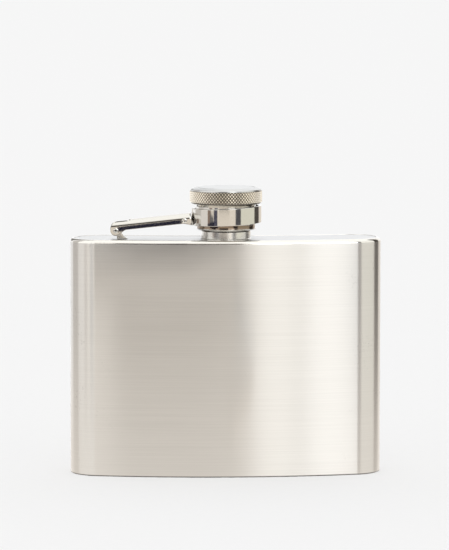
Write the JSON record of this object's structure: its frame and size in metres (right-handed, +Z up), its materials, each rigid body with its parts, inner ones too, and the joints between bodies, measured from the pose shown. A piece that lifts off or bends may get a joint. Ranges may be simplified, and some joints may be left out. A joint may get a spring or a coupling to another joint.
{
  "type": "hip flask",
  "caption": "Curved pocket flask in brushed steel with a knurled screw cap held by a ring, a swinging arm and a pinned hinge.",
  "frame": {"origin": "bottom centre of the whole flask: on the surface it stands on, in the middle of its width and depth", "axes": "+X across the width with the hinge at -X, +Z up through the neck, and the bowed-out front face towards -Y"},
  "size_m": [0.095, 0.025, 0.0878],
  "materials": {
    "brushed_shell": "fine horizontal brushing",
    "brushed_plate": "satin",
    "polished_steel": "polished",
    "satin_cap": "satin, diamond knurled round its side",
    "seal": "matt"
  },
  "bodies": {
    "flask": {"front_shell": "brushed_shell", "back_shell": "brushed_shell", "top_plate": "brushed_plate", "bottom_plate": "brushed_plate", "neck": "polished_steel", "hinge_bracket": "polished_steel", "bracket_pin": "polished_steel"},
    "link": {"hinge_link": "polished_steel", "link_pin": "polished_steel"},
    "arm": {"arm": "polished_steel", "ring_pin": "polished_steel"},
    "ring": {"cap_ring": "polished_steel"},
    "cap": {"threaded_sleeve": "polished_steel", "cap_head": "satin_cap", "gasket": "seal"}
  },
  "joints": [
    {"name": "link_pivot", "type": "hinge", "parent": "flask", "child": "link", "pos_m": [-0.03225, -0.00149, 0.07305], "axis": [0, -1, 0], "range_deg": [-46, 0]},
    {"name": "arm_swing", "type": "hinge", "parent": "link", "child": "arm", "pos_m": [-0.03355, -0.00149, 0.07475], "axis": [0, -1, 0], "range_deg": [0, 205]},
    {"name": "ring_pivot", "type": "hinge", "parent": "arm", "child": "ring", "pos_m": [-0.0127, -0.00149, 0.0777], "axis": [0, -1, 0], "range_deg": [-80, 0]},
    {"name": "cap_spin", "type": "hinge", "parent": "ring", "child": "cap", "pos_m": [0, -0.00149, 0.0801], "axis": [0, 0, 1], "continuous": true}
  ],
  "couplings": [
    {"joint": "link_pivot", "follows": "arm_swing", "ratio": -0.2224},
    {"joint": "ring_pivot", "follows": "arm_swing", "ratio": -0.3888}
  ]
}
